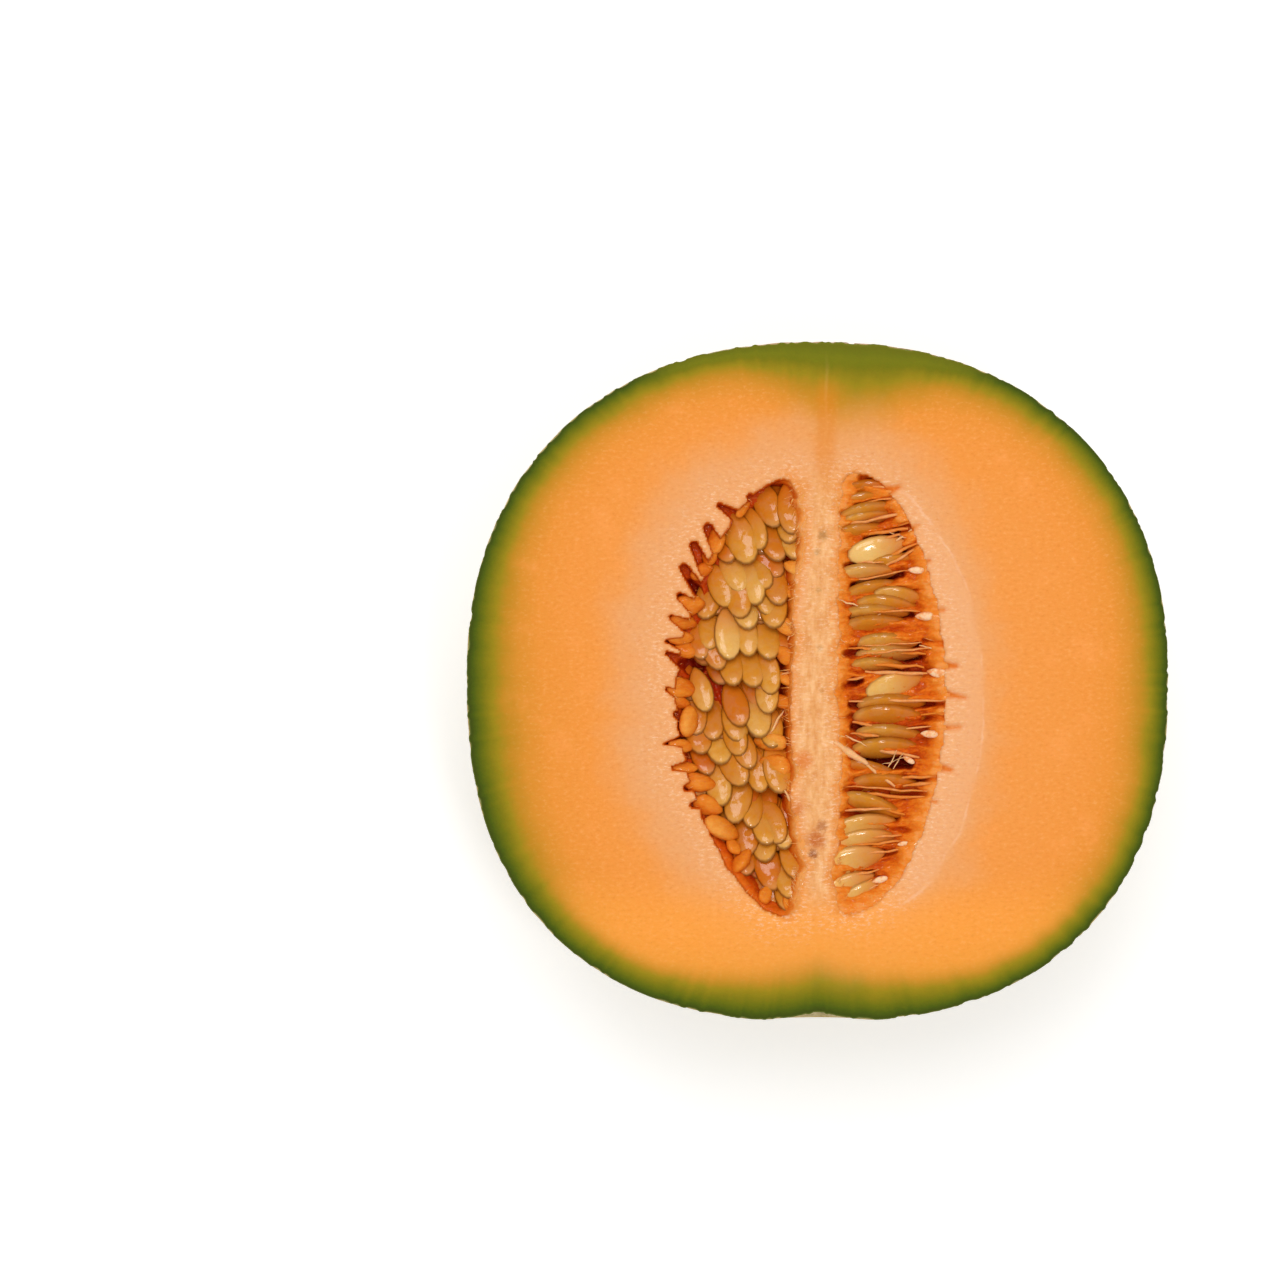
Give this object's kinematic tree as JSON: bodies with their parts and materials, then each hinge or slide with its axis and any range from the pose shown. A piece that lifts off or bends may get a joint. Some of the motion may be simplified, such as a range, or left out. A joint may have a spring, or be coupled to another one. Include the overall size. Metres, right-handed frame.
{
  "type": "cantaloupe melon half",
  "caption": "Cut half of a netted cantaloupe melon, face up on its round back, with orange flesh, two seed pockets, pulp and seeds.",
  "frame": {"origin": "on the surface that the half rests on, under the middle of its box", "axes": "+Z out of the cut face, +Y to the blossom end, +X across the melon to the pocket with the stacked seeds"},
  "size_m": [0.147, 0.1422, 0.072],
  "materials": {
    "flesh": "moist, translucent orange, green towards the rind",
    "rind": "dull corky tan net over dark green skin",
    "pulp": "wet, fibrous, translucent orange",
    "seed": "wet, smooth, golden tan"
  },
  "bodies": {
    "root": {"flesh_and_rind": "flesh", "pulp_left": "pulp", "pulp_right": "pulp", "seeds_left": "seed", "seeds_right": "seed"}
  },
  "joints": []
}
